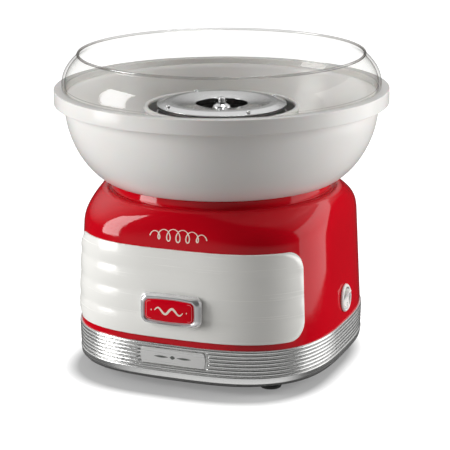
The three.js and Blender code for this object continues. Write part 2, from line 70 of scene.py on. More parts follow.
BADGE_Z = (BADGE_LOW[2] + BADGE_HIGH[2]) / 2
PLATE_Z = (PLATE_LOW[2] + PLATE_HIGH[2]) / 2
BOWL_R = BOWL_HIGH[0]
HEAD_R = node_box("head_cover")[1][0]
BOWL_TOP = BOWL_HIGH[2]
SQUARENESS = 3.03          # exponent of the housing's squared plan
SHOULDER_Z = 127
NECK_Z = 158
PLATFORM_TOP = 164
NECK_R = 97
CREASE_R = 107.5
CREASE_LOW = 140            # below this height the shoulder has no crease
CREASE_RISE = 0.45
RING_W = 118.2
RING_LOW_W = 117.7          # the ring's half width at its lowest rib
RING_TOP = RING_HIGH[2]
RIB_BOTTOM = 17.5
RIB_COUNT = 7
RIB_DEPTH = 1.5
PLATE_HALF_LENGTH = 28.8
PLATE_HALF_HEIGHT = 7.0
RECESS_HALF_LENGTH = 31.6
RECESS_HALF_HEIGHT = 7.75
RECESS_DEPTH = 2.3
SWITCH_Z = 61.5
SWITCH_TILT = 2.5
ROCKER_TILT = 12
ROCKER_R = 8.7
ROCKER_HALF_WIDTH = 7.2
GLAND_Z = 56
RIVET_R = 52
RIVET_ANGLES = (48, 138, 228, 318)
ELEMENT_R = 42
ELEMENT_Z = 196
LEG_ANGLES = (80, 100)
CUP_SCREW_ANGLES = (90, 210, 330)
CUP_SCREW_R = 62.5
FOOT_X = 75
FOOT_Y = 78
INSET_X = 22.1
INSET_Z = 8.5
INSET_OUT = 5.7
INSET_CROWN = 1.1           # how far the red inset's middle stands out past its edge
BADGE_BACK = 1.0            # how far the badge's back stands behind its CAD box
CORNERS = ((1, 1), (-1, 1), (-1, -1), (1, -1))
CAMERA_PLACE = (0.5785, -1.4569, 0.5475)    # metres
CAMERA_LENS = 144.53
CAMERA_TURN = 21.57
CAMERA_DOWN = 15.36
CAMERA_ROLL = -0.3
LOOP_COUNT = 6              # sugar-thread loops on the red front
LOOP_X = 4.5
LOOP_Z = 136.5
LOOP_HALF_LENGTH = 26
BEAD_R = 1.15               # the guard's rolled rim
BEAD_CENTRE_R = 125.7
FLOOR_GLOW_WITH_PAINTED_SHADOW = (0.22, 1.06)   # the floor's emitted brightness: low at the machine's edge as a painted contact shadow, even white away from it
FLOOR_PAINTED_SHADOW = (0.113, 0.129)    # where the painted contact shadow starts and ends, from the axis, in metres
FLOOR_PAINTED_SHADOW_SHIFT = 0.018         # how far the painted contact shadow leans to the front, in metres


# ------------------------------ outlines

def rounded(points, steps=5):
    """A closed outline in which each corner (r, z, fillet) becomes a small curve."""
    dense = []
    count = len(points)
    for i, point in enumerate(points):
        here = Vector(point[:2])
        if len(point) < 3:
            dense.append(here)
            continue
        to_before = Vector(points[i - 1][:2]) - here
        to_after = Vector(points[(i + 1) % count][:2]) - here
        reach = point[2] / math.tan(max(to_before.angle(to_after) / 2, 0.05))
        reach = min(reach, 0.48 * to_before.length, 0.48 * to_after.length)
        start = here + to_before.normalized() * reach
        end = here + to_after.normalized() * reach
        for k in range(steps + 1):
            t = k / steps
            dense.append(start * (1 - t) ** 2 + here * 2 * t * (1 - t) + end * t * t)
    return [(v.x, v.y) for v in dense]


def bezier(a, b, c, d, steps):
    """Points of a cubic curve, both ends included."""
    points = []
    for k in range(steps + 1):
        t = k / steps
        weights = ((1 - t) ** 3, 3 * t * (1 - t) ** 2, 3 * t * t * (1 - t), t ** 3)
        points.append(tuple(sum(w * p[i] for w, p in zip(weights, (a, b, c, d))) for i in (0, 1)))
    return points


def squareness_at(z):
    t = min(max((z - SHOULDER_Z) / (NECK_Z - SHOULDER_Z), 0), 1)
    return SQUARENESS + (2 - SQUARENESS) * t ** 3 * (4 - 3 * t)


def square_factor(angle, n):
    return (abs(math.cos(angle)) ** n + abs(math.sin(angle)) ** n) ** (-1 / n)


def squared(x, y, z):
    """Moves a point of a round ring out to the housing's squared plan."""
    factor = square_factor(math.atan2(y, x), squareness_at(z))
    return x * factor, y * factor, z


def housing_half_width(z):
    return 116.9 - (z - 44.5) * (3.8 / 82.5)


# ------------------------------ meshes

def linked(name, data):
    """A new object in the scene."""
    made = bpy.data.objects.new(name, data)
    bpy.context.collection.objects.link(made)
    return made


def piece(name, vertices, faces, sharp=38):
    """A smooth-shaded mesh object from points in millimetres."""
    mesh = bpy.data.meshes.new(name)
    work = bmesh.new()
    corners = [work.verts.new((x * MM, y * MM, z * MM)) for x, y, z in vertices]
    for face in faces:
        work.faces.new([corners[k] for k in face])
    bmesh.ops.remove_doubles(work, verts=work.verts, dist=1e-7)
    bmesh.ops.dissolve_degenerate(work, edges=work.edges, dist=1e-8)
    bmesh.ops.recalc_face_normals(work, faces=work.faces)
    work.to_mesh(mesh)
    work.free()
    mesh.validate()
    mesh.shade_smooth()
    mesh.set_sharp_from_angle(angle=math.radians(sharp))
    return linked(name, mesh)


def skin(loops, closed_round=False):
    """The points of loops that follow each other, and the faces between each loop and the next."""
    count = len(loops[0])
    faces = []
    for i in range(len(loops) if closed_round else len(loops) - 1):
        a, b = i * count, (i + 1) % len(loops) * count
        for k in range(count):
            n = (k + 1) % count
            faces.append((a + k, a + n, b + n, b + k))
    return [point for loop in loops for point in loop], faces


def lofted(name, loops, closed_round=False, sharp=38):
    """Skins loops of equally many points. Ends are capped unless the loops close into a ring."""
    count = len(loops[0])
    vertices, faces = skin(loops, closed_round)
    if not closed_round:
        faces.append(tuple(range(count)))
        faces.append(tuple(range(len(vertices) - count, len(vertices))))
    return piece(name, vertices, faces, sharp)


def turned(name, profile, around=AROUND, angles=None, shape=None, sharp=38):
    """Turns an (r, z) outline about Z. An outline off the axis is closed on itself."""
    if angles is None:
        angles = [TAU * k / around for k in range(around)]
    on_axis = profile[0][0] < 1e-6
    inner = profile[1:-1] if on_axis else profile
    loops = []
    for r, z in inner:
        loop = [(r * math.cos(a), r * math.sin(a), z) for a in angles]
        loops.append([shape(*point) for point in loop] if shape else loop)
    if not on_axis:
        return lofted(name, loops, closed_round=True, sharp=sharp)
    count = len(angles)
    vertices, faces = skin(loops)
    first, last = len(vertices), len(vertices) + 1
    vertices += [(0, 0, profile[0][1]), (0, 0, profile[-1][1])]
    end = (len(loops) - 1) * count
    for k in range(count):
        n = (k + 1) % count
        faces.append((k, n, first))
        faces.append((end + k, end + n, last))
    return piece(name, vertices, faces, sharp)


def moved(made, matrix):
    """Applies a placement, given in millimetres, to a piece's mesh."""
    scaled = matrix.copy()
    scaled.translation = matrix.translation * MM
    made.data.transform(scaled)
    return made


def placed(made, x, y, z=0.0, turn=0.0):
    return moved(made, Matrix.Translation((x, y, z)) @ Matrix.Rotation(math.radians(turn), 4, "Z"))


def polar(radius, degrees):
    turn = math.radians(degrees)
    return radius * math.cos(turn), radius * math.sin(turn)


def cut_by(made, *cutters):
    """Cuts other closed meshes out of a piece and drops them."""
    for cutter in cutters:
        cut = made.modifiers.new("cut", "BOOLEAN")
        cut.operation = "DIFFERENCE"
        cut.object = cutter
        cut.solver = "EXACT"
        dependencies = bpy.context.evaluated_depsgraph_get()
        mesh = bpy.data.meshes.new_from_object(made.evaluated_get(dependencies))
        made.modifiers.clear()
        made.data = mesh
        bpy.data.objects.remove(cutter, do_unlink=True)
    made.data.shade_smooth()
    made.data.set_sharp_from_angle(angle=math.radians(38))
    return made


def finish_piece(made, body, slot, *nodes, look=None):
    """Says what a piece rides on, its finish and the CAD nodes it stands for. A look overrides the slot's."""
    made.data.materials.clear()
    made.data.materials.append(MATERIALS[look or slot])
    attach(made, body)
    if nodes:
        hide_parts(*nodes)


# ------------------------------ materials

class Nodes:
    """A short way to write a node tree."""

    def __init__(self, tree):
        self.tree = tree

    def add(self, kind, **settings):
        node = self.tree.nodes.new(kind)
        for key, value in settings.items():
            if key.startswith("in_"):
                name = key[3:].replace("_", " ")
                socket = node.inputs[int(name)] if name.isdigit() else node.inputs[name]
                if isinstance(value, bpy.types.NodeSocket):
                    self.tree.links.new(value, socket)
                else:
                    socket.default_value = value
            else:
                setattr(node, key, value)
        return node

    def maths(self, operation, first, *second):
        values = {f"in_{place}": value for place, value in enumerate((first, *second))}
        return self.add("ShaderNodeMath", operation=operation, **values).outputs[0]

    def coordinates(self, stretch=(1, 1, 1)):
        source = self.add("ShaderNodeTexCoord").outputs["Object"]
        return self.add("ShaderNodeMapping", in_Vector=source, in_Scale=stretch).outputs[0]

    def radius(self):
        """Distance from the machine's axis, in metres."""
        source = self.add("ShaderNodeTexCoord").outputs["Object"]
        flat = self.add("ShaderNodeMapping", in_Vector=source, in_Scale=(1, 1, 0)).outputs[0]
        return self.add("ShaderNodeVectorMath", operation="LENGTH", in_0=flat).outputs["Value"]

    def squared_radius(self, n, shift):
        """Distance from the axis measured in a squared plan, moved by a shift along Y."""
        parts = self.add("ShaderNodeSeparateXYZ", in_Vector=self.add("ShaderNodeTexCoord").outputs["Object"])
        across = self.maths("ABSOLUTE", parts.outputs["X"])
        along = self.maths("ABSOLUTE", self.maths("ADD", parts.outputs["Y"], shift))
        total = self.maths("ADD", self.maths("POWER", across, n), self.maths("POWER", along, n))
        return self.maths("POWER", total, 1 / n)

    def noise(self, vector, scale, detail=3.0, roughness=0.55):
        node = self.add("ShaderNodeTexNoise", in_Vector=vector, in_Scale=scale, in_Detail=detail,
                        in_Roughness=roughness)
        return node.outputs["Fac"]

    def ranged(self, value, low, high, from_low=0.3, from_high=0.7):
        node = self.add("ShaderNodeMapRange", in_Value=value)
        node.inputs["From Min"].default_value = from_low
        node.inputs["From Max"].default_value = from_high
        node.inputs["To Min"].default_value = low
        node.inputs["To Max"].default_value = high
        return node.outputs[0]

    def blend(self, factor, first, second):
        node = self.add("ShaderNodeMix", data_type="RGBA")
        self.tree.links.new(factor, node.inputs["Factor"])
        for socket, value in ((node.inputs[6], first), (node.inputs[7], second)):
            if isinstance(value, bpy.types.NodeSocket):
                self.tree.links.new(value, socket)
            else:
                socket.default_value = (*value, 1)
        return node.outputs[2]


MATERIALS = {}


def new_tree(name):
    """A material with an empty node tree, kept in MATERIALS under its name."""
    made = bpy.data.materials.new(name)
    made.use_nodes = True
    made.node_tree.nodes.clear()
    MATERIALS[name] = made
    return Nodes(made.node_tree)


def shade(colour, factor):
    return tuple(min(c * factor, 1) for c in colour)


def surface(name, colour, rough, tint=0.06, tint_scale=14, rough_spread=0.04, grain_scale=400,
            grain_height=0.00001, stretch=(1, 1, 1), radial=False, **principled):
    """A moulded, painted or metal surface: mottled colour, uneven gloss and a fine grain."""
    nodes = new_tree(name)
    where = nodes.coordinates(stretch)
    mottle = nodes.ranged(nodes.noise(nodes.coordinates(), tint_scale), 0, 1)
    base = nodes.blend(mottle, shade(colour, 1 - tint), shade(colour, 1 + tint))
    grain = nodes.noise(where, grain_scale, detail=4)
    if radial:
        rings = nodes.add("ShaderNodeTexNoise", noise_dimensions="1D", in_W=nodes.radius(),
                          in_Scale=grain_scale, in_Detail=4.0)
        grain = rings.outputs["Fac"]
    gloss = nodes.ranged(grain, rough - rough_spread, rough + rough_spread)
    bump = nodes.add("ShaderNodeBump", in_Height=grain, in_Strength=1.0, in_Distance=grain_height)
    shader = nodes.add("ShaderNodeBsdfPrincipled", in_Base_Color=base, in_Roughness=gloss,
                       in_Normal=bump.outputs[0])
    for key, value in principled.items():
        shader.inputs[key.replace("_", " ")].default_value = value
    nodes.add("ShaderNodeOutputMaterial", in_0=shader.outputs[0])


def clear_plastic(name, thinness, face, edge_tint, shine):
    """Clear moulded plastic: see-through, with a reflection and a grey edge at glancing angles."""
    nodes = new_tree(name)
    wave = nodes.noise(nodes.coordinates(), 22, detail=2)
    bump = nodes.add("ShaderNodeBump", in_Height=wave, in_Strength=1.0, in_Distance=0.0001)
    weight = nodes.add("ShaderNodeLayerWeight", in_Blend=0.5)
    edge = nodes.maths("POWER", weight.outputs["Facing"], thinness)
    tint = nodes.blend(edge, (face, face, face * 0.995), (edge_tint, edge_tint * 0.96, edge_tint * 0.92))
    through = nodes.add("ShaderNodeBsdfTransparent", in_Color=tint)
    scuffs = nodes.ranged(nodes.noise(nodes.coordinates(), 90), 0.03, 0.08)
    gloss = nodes.add("ShaderNodeBsdfAnisotropic", in_Roughness=scuffs, in_Normal=bump.outputs[0])
    mirror = nodes.add("ShaderNodeMath", operation="MULTIPLY_ADD", in_0=edge, in_1=0.4, in_2=shine)
    mix = nodes.add("ShaderNodeMixShader", in_0=mirror.outputs[0], in_1=through.outputs[0],
                    in_2=gloss.outputs[0])
    nodes.add("ShaderNodeOutputMaterial", in_0=mix.outputs[0])


def make_materials():
    """One procedural material for each of the record's slots, and for the looks that differ from them."""
    surface("red_gloss", (0.54, 0.001, 0.009), 0.07, tint=0.05, rough_spread=0.02, grain_scale=60,
            grain_height=0.00002, Specular_IOR_Level=0.4)
    surface("white_gloss", (0.80, 0.785, 0.765), 0.2, tint=0.02, grain_scale=120, grain_height=0.00002,
            Specular_IOR_Level=0.35, Subsurface_Weight=0.08, Subsurface_Scale=0.002)
    surface("pearl_panel", (0.89, 0.885, 0.85), 0.22, tint=0.02, tint_scale=9, rough_spread=0.08,
            grain_scale=24, grain_height=0.00002, stretch=(0.35, 0.35, 22), Metallic=0.05,
            Specular_IOR_Level=0.5)
    surface("satin_silver", (0.80, 0.80, 0.79), 0.24, tint=0.03, rough_spread=0.06, grain_scale=40,
            grain_height=0.00002, stretch=(0.5, 0.5, 30), Metallic=0.85)
    surface("plate_silver", (0.74, 0.74, 0.73), 0.3, tint=0.02, rough_spread=0.05, grain_scale=60,
            stretch=(0.4, 0.4, 20), Metallic=0.35)
    surface("badge_chrome", (0.86, 0.86, 0.87), 0.16, tint=0.02, grain_scale=200, Metallic=0.7)
    surface("badge_red", (0.66, 0.001, 0.012), 0.16, tint=0.04, rough_spread=0.03, grain_scale=80,
            Specular_IOR_Level=0.1)
    surface("polished_aluminium", (0.80, 0.80, 0.81), 0.13, tint=0.02, rough_spread=0.06,
            grain_scale=1500, grain_height=0.00003, radial=True, Metallic=1.0)
    surface("sheet_steel", (0.50, 0.50, 0.51), 0.3, tint=0.08, rough_spread=0.08, grain_scale=300,
            Metallic=1.0)
    surface("black_plastic", (0.018, 0.018, 0.02), 0.45, tint=0.2, rough_spread=0.08, grain_scale=900,
            grain_height=0.00004)
    surface("black_rubber", (0.022, 0.022, 0.022), 0.75, tint=0.25, rough_spread=0.1, grain_scale=600,
            grain_height=0.00005)
    surface("ceramic", (0.76, 0.73, 0.66), 0.6, tint=0.08, tint_scale=120, grain_scale=900,
            grain_height=0.00006)
    surface("circuit_board", (0.03, 0.17, 0.07), 0.35, tint=0.3, tint_scale=160, grain_scale=500)
    surface("copper_winding", (0.52, 0.22, 0.08), 0.32, tint=0.15, tint_scale=90, grain_scale=1200,
            stretch=(1, 1, 0.1), Metallic=1.0)
    surface("ferrite", (0.06, 0.06, 0.065), 0.6, tint=0.2, grain_scale=700)
    clear_plastic("clear_plastic", 11.0, 0.99, 0.40, 0.04)
    clear_plastic("clear_bead", 1.6, 0.86, 0.58, 0.06)
    surface("heated_steel", (0.20, 0.17, 0.15), 0.42, tint=0.35, tint_scale=60, rough_spread=0.1,
            Metallic=0.9)
    surface("pan_aluminium", (0.16, 0.155, 0.15), 0.3, tint=0.25, tint_scale=40, rough_spread=0.1,
            grain_scale=1500, grain_height=0.00003, radial=True, Metallic=1.0)
    surface("cream_print", (0.88, 0.79, 0.68), 0.35, tint=0.05, grain_scale=500)
    surface("pink_print", (0.80, 0.22, 0.22), 0.35, tint=0.05, grain_scale=500)
    surface("mark_ink", (0.10, 0.11, 0.10), 0.5, tint=0.2, grain_scale=500)


# ------------------------------ housing and base

SHOULDER = bezier((113.1, SHOULDER_Z), (112.4, 141.5), (110, 156.2), (103.3, 157.2), 44)


def raise_crease(x, y, z):
    """Squares the plan and lifts a faint round step into the shoulder."""
    x, y, z = squared(x, y, z)
    out = math.hypot(x, y)
    if z > CREASE_LOW:
        t = min(max(CREASE_R + 0.5 - out, 0), 1)
        z += CREASE_RISE * t * t * (3 - 2 * t) * min(max((NECK_Z - z) / 4, 0), 1)
    return x, y, z


def build_housing():
    low = 15.3
    skirt = 114.6
    lower_edge = RING_TOP + 0.8
    side = [(housing_half_width(z), z) for z in range(46, SHOULDER_Z, 6)]
    inside = bezier((97.5, 153.1), (105.5, 153.1), (109.6, 142), (110.4, SHOULDER_Z), 16)
    outline = rounded([
        (skirt, low), (skirt, lower_edge - 0.1), (housing_half_width(lower_edge), lower_edge, 0.9),
    ]) + side + SHOULDER + rounded([
        (100.6, 156.5, 2.0), (98.4, 155.6, 0.8), (NECK_R, 156.0, 1.1), (NECK_R, PLATFORM_TOP, 1.1),
        (76, PLATFORM_TOP, 0.4), (76, 167.2, 0.5), (73.5, 167.2, 0.5), (73.5, PLATFORM_TOP, 0.4),
        (50, PLATFORM_TOP, 0.5), (50, 161.5), (93.5, 161.5), (94.5, 154.6),
    ])[5:] + inside + [(112.2, 60), (112.2, low)]
    made = turned("housing_shell", outline, around=288, shape=raise_crease)
    hole = turned("switch_hole", [(0, -12), (10.25, -12), (10.25, 12), (0, 12)], around=64)
    moved(hole, switch_place())
    gland = turned("gland_hole", [(0, -8), (5.2, -8), (5.2, 8), (0, 8)], around=48)
    moved(gland, Matrix.Translation((0, 114, GLAND_Z)) @ Matrix.Rotation(math.pi / 2, 4, "X"))
    cut_by(made, hole, gland)
    finish_piece(made, "base", "red_gloss", "housing")
    for i, (x, y) in enumerate(CORNERS):
        column = turned(f"screw_boss_{i + 1}", rounded([
            (2.0, 6.2), (5.5, 6.2, 0.4), (5.5, 112, 0.4), (2.0, 112)]), around=AROUND_SMALL)
        placed(column, x * FOOT_X, y * FOOT_Y)
        finish_piece(column, "base", "red_gloss")


def rib_profile():
    """The ring's outer face: rounded ribs over a smooth lower band."""
    pitch = (RING_TOP - 0.4 - RIB_BOTTOM) / RIB_COUNT
    points = []
    for i in range(RIB_COUNT):
        width = RING_LOW_W + (RING_W - RING_LOW_W) * (i / (RIB_COUNT - 1))
        for k in range(10):
            t = k / 10
            dip = RIB_DEPTH * (1 - math.sin(math.pi * t) ** 0.6)
            points.append((width - dip, RIB_BOTTOM + (i + t) * pitch))
    return points


def plate_recess(x, y, z):
    """Squares the ring's plan and sinks a bowed recess for the name plate into its ribs."""
    x, y, z = squared(x, y, z)
    up = (z - PLATE_Z) / RECESS_HALF_HEIGHT
    if y > -100 or abs(up) > 1 or abs(x) > RECESS_HALF_LENGTH + 4:
        return x, y, z
    end = RECESS_HALF_LENGTH + 1.8 * (1 - up * up)
    depth = min(max((end - abs(x)) / 1.6, 0), 1)
    reach = (RING_W - RECESS_DEPTH) * square_factor(math.atan2(y, x), SQUARENESS)
    floor = -reach * math.cos(math.atan2(x, -y))
    return x, y + (max(floor, y) - y) * depth, z


def build_trim_ring():
    low = RING_LOW[2]
    outline = rounded([(115.1, 12), (113, 10.6), (113, low), (114.8, low, 0.5), (117.3, 11.4, 2.2),
                       (118.0, RIB_BOTTOM - 0.9, 0.8), (117.0, RIB_BOTTOM - 0.1)])
    outline += rib_profile()
    outline += rounded([(RING_W - 0.9, RING_TOP - 0.45), (RING_W - 0.1, RING_TOP - 0.3, 0.2),
                        (RING_W - 0.4, RING_TOP, 0.2), (115.1, RING_TOP)])[:-1] + [(115.1, RING_TOP)]
    front = -math.pi / 2
    angles = {round(front + TAU * k / 300, 6) for k in range(300)}
    for side in (-1, 1):
        angles |= {round(front + side * math.radians(13.4 + 0.11 * k), 6) for k in range(46)}
    made = turned("trim_ring_ribbed", outline, angles=sorted(angles), shape=plate_recess)
    finish_piece(made, "base", "satin_silver", "trim_ring")


def arc_angles(width, step=0.001, reach=1.3):
    """Pairs of arc length from the front centre and angle from the front, along the squared plan."""
    pairs = [(0.0, 0.0)]
    last = Vector((0, -width))
    for k in range(1, int(reach / step)):
        angle = -math.pi / 2 + k * step
        r = width * square_factor(angle, SQUARENESS)
        here = Vector((r * math.cos(angle), r * math.sin(angle)))
        pairs.append((pairs[-1][0] + (here - last).length, k * step))
        last = here
    return pairs


def look_up(pairs, value, column=0):
    """Interpolates in arc_angles' pairs."""
    low, high = 0, len(pairs) - 1
    while high - low > 1:
        middle = (low + high) // 2
        if pairs[middle][column] < value:
            low = middle
        else:
            high = middle
    a, b = pairs[low], pairs[high]
    t = (value - a[column]) / (b[column] - a[column])
    return a[1 - column] + t * (b[1 - column] - a[1 - column])


def edge_steps(half, spacing):
    """Places from -half to half, close together near both ends."""
    near = [0, 0.08, 0.2, 0.38, 0.6, 0.9, 1.3, 1.8, 2.6]
    middle_count = max(2, round((2 * half - 6) / spacing))
    middle = [-half + 3.4 + (2 * half - 6.8) * k / middle_count for k in range(middle_count + 1)]
    return [-half + d for d in near] + middle + [half - d for d in reversed(near)]


def wrapped_plate(name, centre_z, half_length, half_height, corner, back, thick, edge, bow=0.0,
                  bands=0, band_rise=0.0, spacing=1.6, width_at=housing_half_width):
    """A plate with rounded corners and edges, wrapped round the front of the squared body."""
    pairs = arc_angles(width_at(centre_z))
    columns = edge_steps(half_length, spacing * 1.4)
    rows = edge_steps(half_height, spacing)
    front, rear = [], []
    for up in rows:
        z = centre_z + up
        in_corner = max(0.0, corner - (half_height - abs(up)))
        short = corner - math.sqrt(max(corner ** 2 - in_corner ** 2, 0))
        longer = bow * (1 - (up / half_height) ** 2)
        for along in columns:
            s = along * (half_length - short + longer) / half_length
            angle = math.copysign(look_up(pairs, abs(s)), s)
            inside = corner_distance(along, up, half_length, half_height, corner)
            t = min(inside / edge, 1)
            drop = edge * (1 - math.sqrt(max(1 - (1 - t) ** 2, 0)))
            band = abs(math.sin((up / half_height + 1) / 2 * bands * math.pi)) * band_rise
            for points, rise in ((front, thick - drop + band * min(inside / 3, 1)), (rear, 0)):
                r = (width_at(z) + back + rise) * square_factor(angle - math.pi / 2, SQUARENESS)
                points.append((r * math.sin(angle), -r * math.cos(angle), z))
    return grid_slab(name, front, rear, len(columns), len(rows))


def corner_distance(x, y, half_x, half_y, corner):
    """How far inside a rounded rectangle a point lies."""
    over_x = abs(x) - half_x + corner
    over_y = abs(y) - half_y + corner
    outside = math.hypot(max(over_x, 0), max(over_y, 0))
    return max(corner - outside - min(max(over_x, over_y), 0), 0)


def grid_slab(name, front, rear, columns, rows):
    """A closed slab from a front and a rear grid of points."""
    faces = []
    offset = len(front)
    for j in range(rows - 1):
        for i in range(columns - 1):
            a = j * columns + i
            faces.append((a, a + 1, a + columns + 1, a + columns))
            faces.append((offset + a, offset + a + columns, offset + a + columns + 1, offset + a + 1))
    rim = [i for i in range(columns)]
    rim += [j * columns + columns - 1 for j in range(1, rows)]
    rim += [(rows - 1) * columns + i for i in range(columns - 2, -1, -1)]
    rim += [j * columns for j in range(rows - 2, 0, -1)]
    for k, a in enumerate(rim):
        b = rim[(k + 1) % len(rim)]
        faces.append((a, b, offset + b, offset + a))
    return piece(name, front + rear, faces, sharp=50)


def build_front_panel():
    centre = (PANEL_LOW[2] + PANEL_HIGH[2]) / 2
    half_height = (PANEL_HIGH[2] - PANEL_LOW[2]) / 2
    pairs = arc_angles(housing_half_width(centre))
    edge_angle = math.atan2(104, 76)
    half_length = look_up(pairs, edge_angle, column=1)
    made = wrapped_plate("front_panel_pearl", centre, half_length, half_height, corner=16, back=0.35,
                         thick=1.25, edge=0.8, bands=4, band_rise=0.7)
    finish_piece(made, "base", "pearl_panel", "front_panel")


def build_name_plate():
    made = wrapped_plate("name_plate_blank", PLATE_Z, PLATE_HALF_LENGTH, PLATE_HALF_HEIGHT, corner=0.8,
                         back=-2.2, thick=1.5, edge=0.5, bow=1.6, spacing=1.2, width_at=lambda z: RING_W)
    finish_piece(made, "base", "satin_silver", "name_plate", look="plate_silver")


def bowed_outline(half_x, half_z, corner, bow_x, bow_z, steps=8, straights=12):
    """A rounded rectangle whose sides bulge, as (x, z) points. Every outline has as many points."""
    points = []
    for quarter, (sx, sz) in enumerate(CORNERS):
        for k in range(steps + 1):
            a = math.radians(90 * quarter + 90 * k / steps)
            points.append((sx * (half_x - corner) + corner * math.cos(a),
                           sz * (half_z - corner) + corner * math.sin(a)))
        ahead_x, ahead_z = CORNERS[(quarter + 1) % 4]
        turn = math.radians(90 * (quarter + 1))
        ahead = (ahead_x * (half_x - corner) + corner * math.cos(turn),
                 ahead_z * (half_z - corner) + corner * math.sin(turn))
        here = points[-1]
        for k in range(1, straights):
            t = k / straights
            points.append((here[0] + (ahead[0] - here[0]) * t, here[1] + (ahead[1] - here[1]) * t))
    return [(x * (1 + bow_x / half_x * (1 - min(abs(z) / half_z, 1) ** 2)),
             z * (1 + bow_z / half_z * (1 - min(abs(x) / half_x, 1) ** 2))) for x, z in points]


def front_loft(name, back_y, z, steps, sharp=38):
    """Stacks bowed outlines towards the front: steps are (half_x, half_z, corner, bow_z, out)."""
    loops = []
    for half_x, half_z, corner, bow_z, out in steps:
        outline = bowed_outline(half_x, half_z, corner, 0.4, bow_z)
        loops.append([(x, back_y - out, z + up) for x, up in outline])
    return lofted(name, loops, sharp=sharp)


def build_badge():
    back = BADGE_HIGH[1] + BADGE_BACK
    frame_steps = [
        (28.0, 13.2, 6.0, 0.5, 0.0), (28.0, 13.2, 6.0, 0.5, 0.9), (27.7, 13.0, 5.8, 0.7, 1.8),
        (26.8, 12.4, 5.4, 1.0, 3.8), (25.7, 11.6, 5.0, 1.2, 5.4), (24.9, 11.0, 4.7, 1.3, 6.2),
        (24.1, 10.3, 4.3, 1.3, 6.6), (23.4, 9.7, 3.9, 1.3, 6.5), (22.9, 9.3, 3.6, 1.3, 6.1),
        (22.6, 9.0, 3.4, 1.3, 5.6), (22.5, 8.9, 3.3, 1.3, 5.0),
    ]
    made = front_loft("badge_frame_bright", back, BADGE_Z, frame_steps)
    finish_piece(made, "base", "badge_chrome", "badge_frame")
    dome = [(INSET_X, INSET_Z, 3.2, 1.3, 4.6), (INSET_X, INSET_Z, 3.2, 1.3, 5.3),
            (INSET_X - 0.3, INSET_Z - 0.3, 3.0, 1.3, INSET_OUT)]
    for k in range(1, 9):
        t = 1 - k / 9
        out = INSET_OUT + INSET_CROWN * (1 - t * t)
        dome.append(((INSET_X - 0.3) * t, (INSET_Z - 0.3) * t, 3.0 * t, 1.3 * t, out))
    insert = front_loft("badge_insert_red", back, BADGE_Z, dome, sharp=60)
    finish_piece(insert, "base", "red_gloss", "badge_insert", look="badge_red")


def build_base_pan():
    low = PAN_LOW[2]
    outline = rounded([(0, low), (103, low, 1.5), (108.5, 6, 2.5), (110.3, 12.3), (114.6, 12.3, 0.3),
                       (114.6, 15, 0.3), (107.5, 15, 0.3), (106, 8.4, 2), (101.5, 5.8, 1.5), (0, 5.8)])
    made = turned("base_pan_moulded", outline, around=160, shape=squared)
    cutters = []
    for side in (-1, 1):
        for i in range(4):
            loops = []
            for z in (0, 9):
                outline = bowed_outline(1.6, 17, 1.5, 0, 0)
                loops.append([(side * (16 + i * 7) + x, y, z) for x, y in outline])
            cutters.append(lofted("vent", loops))
    cut_by(made, *cutters)
    finish_piece(made, "base", "black_plastic", "base_pan")


def build_feet():
    for i, (x, y) in enumerate(CORNERS):
        pad = turned(f"rubber_foot_{i + 1}", rounded([
            (4.4, 0, 0.3), (8.9, 0, 0.8), (9.5, 1.4, 0.6), (9.5, 2.9, 0.2), (2.3, 2.9), (2.3, 2),
            (4.4, 2, 0.2)]), around=AROUND_SMALL)
        placed(pad, x * FOOT_X, y * FOOT_Y)
        finish_piece(pad, "base", "black_rubber", f"foot_{i + 1}")
        screw = build_screw(f"base_screw_head_{i + 1}", 3.9, 1.4, 1.7, 23)
        moved(screw, Matrix.Translation((x * FOOT_X, y * FOOT_Y, 1.7)) @ Matrix.Rotation(math.pi, 4, "X"))
        finish_piece(screw, "base", "sheet_steel", f"base_screw_{i + 1}")


def build_screw(name, head_r, head_h, shank_r, length):
    """A pan-head screw with a cross recess, head up, its seat on z = 0."""
    made = turned(name, rounded([(0, -length), (0.4, -length), (shank_r, -length + 2.2), (shank_r, 0),
                                 (head_r, 0, 0.2), (head_r, head_h * 0.4, 0.4),
                                 (head_r * 0.7, head_h, 0.5), (0, head_h)]), around=32)
    cutters = []
    for turn in (0, 90):
        loops = []
        for z, size in ((head_h * 0.35, 0.35), (head_h + 0.2, 0.62)):
            outline = bowed_outline(head_r * size, 0.38, 0.15, 0, 0, steps=2)
            loops.append([(x, y, z) for x, y in outline])
        cross = lofted("cross", loops)
        cutters.append(placed(cross, 0, 0, 0, turn))
    return cut_by(made, *cutters)


# ------------------------------ switch and gland

def switch_place():
    turn = Matrix.Rotation(math.radians(90 - SWITCH_TILT), 4, "Y")
    return Matrix.Translation((housing_half_width(SWITCH_Z), 0, SWITCH_Z)) @ turn


def rocker_place():
    tilt = Matrix.Rotation(math.radians(ROCKER_TILT), 4, "Y")
    return switch_place() @ Matrix.Translation((0, 0, -1)) @ tilt


def rocker_height(x):
    """The rocker's V-shaped top, measured from its pivot."""
    return 3.0 + 2.3 * min(abs(x) / 7.0, 1.15) ** 1.5


def rocker_outline(scale):
    """Plan of the rocker: a disc with its two sides cut straight."""
    points = []
    for k in range(72):
        a = TAU * k / 72
        x, y = ROCKER_R * math.cos(a), ROCKER_R * math.sin(a)
        y = math.copysign(min(abs(y), ROCKER_HALF_WIDTH), y)
        points.append((x * scale, y * scale))
    return points


